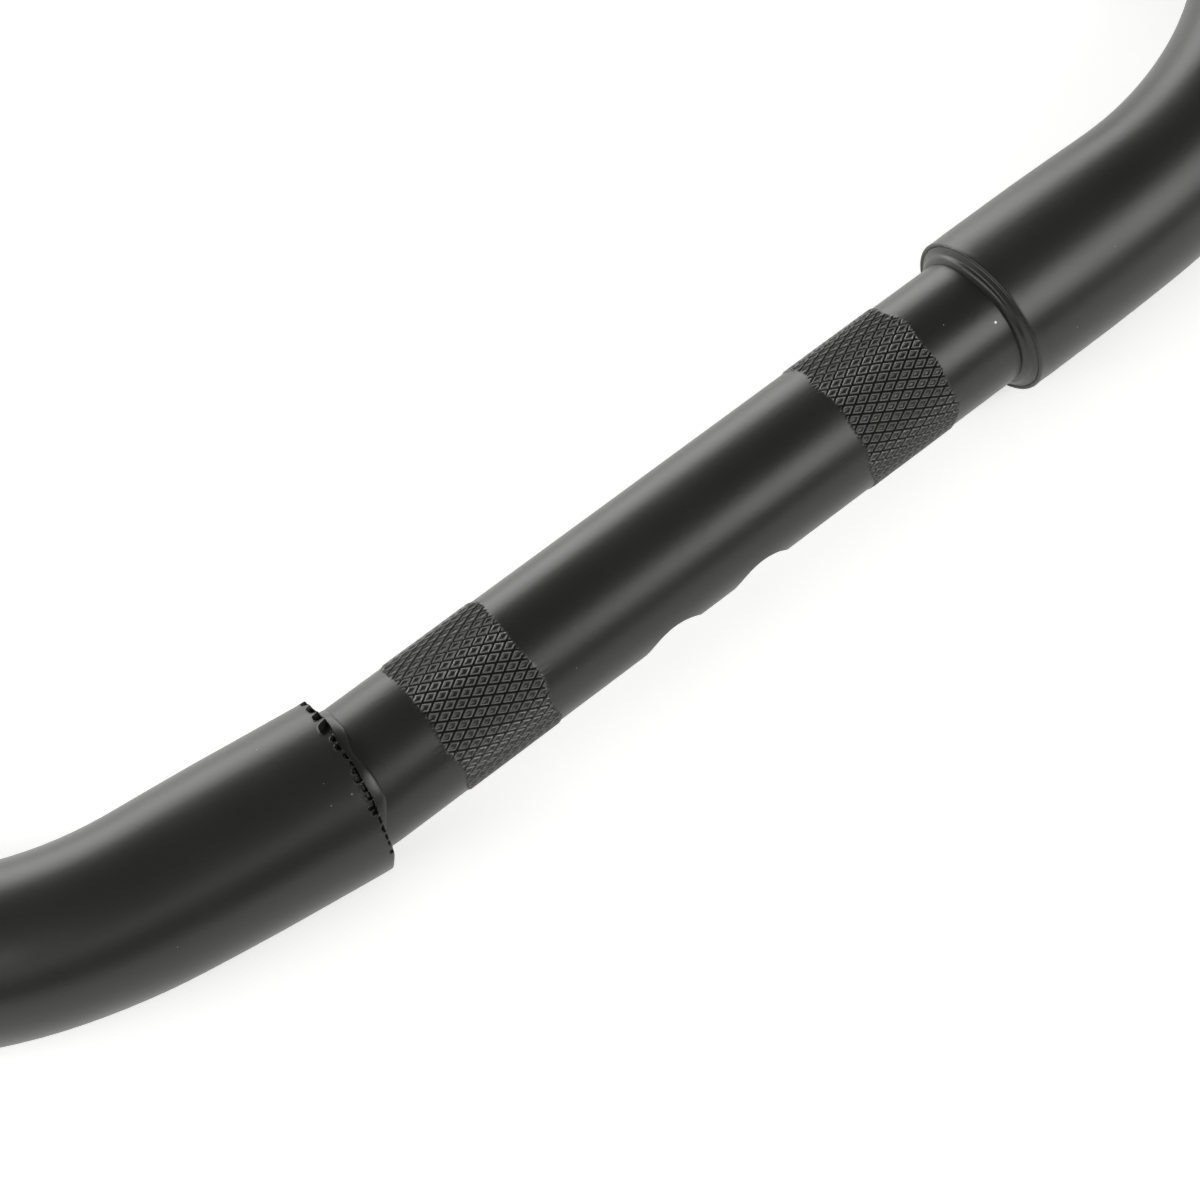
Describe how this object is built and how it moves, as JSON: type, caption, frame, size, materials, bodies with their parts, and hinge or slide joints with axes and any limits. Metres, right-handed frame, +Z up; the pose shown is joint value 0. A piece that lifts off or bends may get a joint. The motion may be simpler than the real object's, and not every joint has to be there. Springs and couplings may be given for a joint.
{
  "type": "ape hanger handlebar",
  "caption": "Tall motorcycle handlebar of stepped black steel tube, with a knurled clamp section, wiring holes, fat risers and slim pulled-back grip ends.",
  "frame": {"origin": "middle of the clamp tube, on its centre line between the knurled bands", "axes": "+X along the clamp tube to the rider's right, +Y forwards, +Z up"},
  "size_m": [0.9302, 0.1949, 0.3291],
  "materials": {
    "powder_coat": "satin black powder coat on steel tube",
    "weld_coat": "satin black powder coat over a weld bead"
  },
  "bodies": {
    "root": {"centre_tube": "powder_coat", "left_riser_tube": "powder_coat", "right_riser_tube": "powder_coat", "left_grip_tube": "powder_coat", "right_grip_tube": "powder_coat", "left_inner_weld": "weld_coat", "right_inner_weld": "weld_coat", "left_outer_weld": "weld_coat", "right_outer_weld": "weld_coat"}
  },
  "joints": []
}
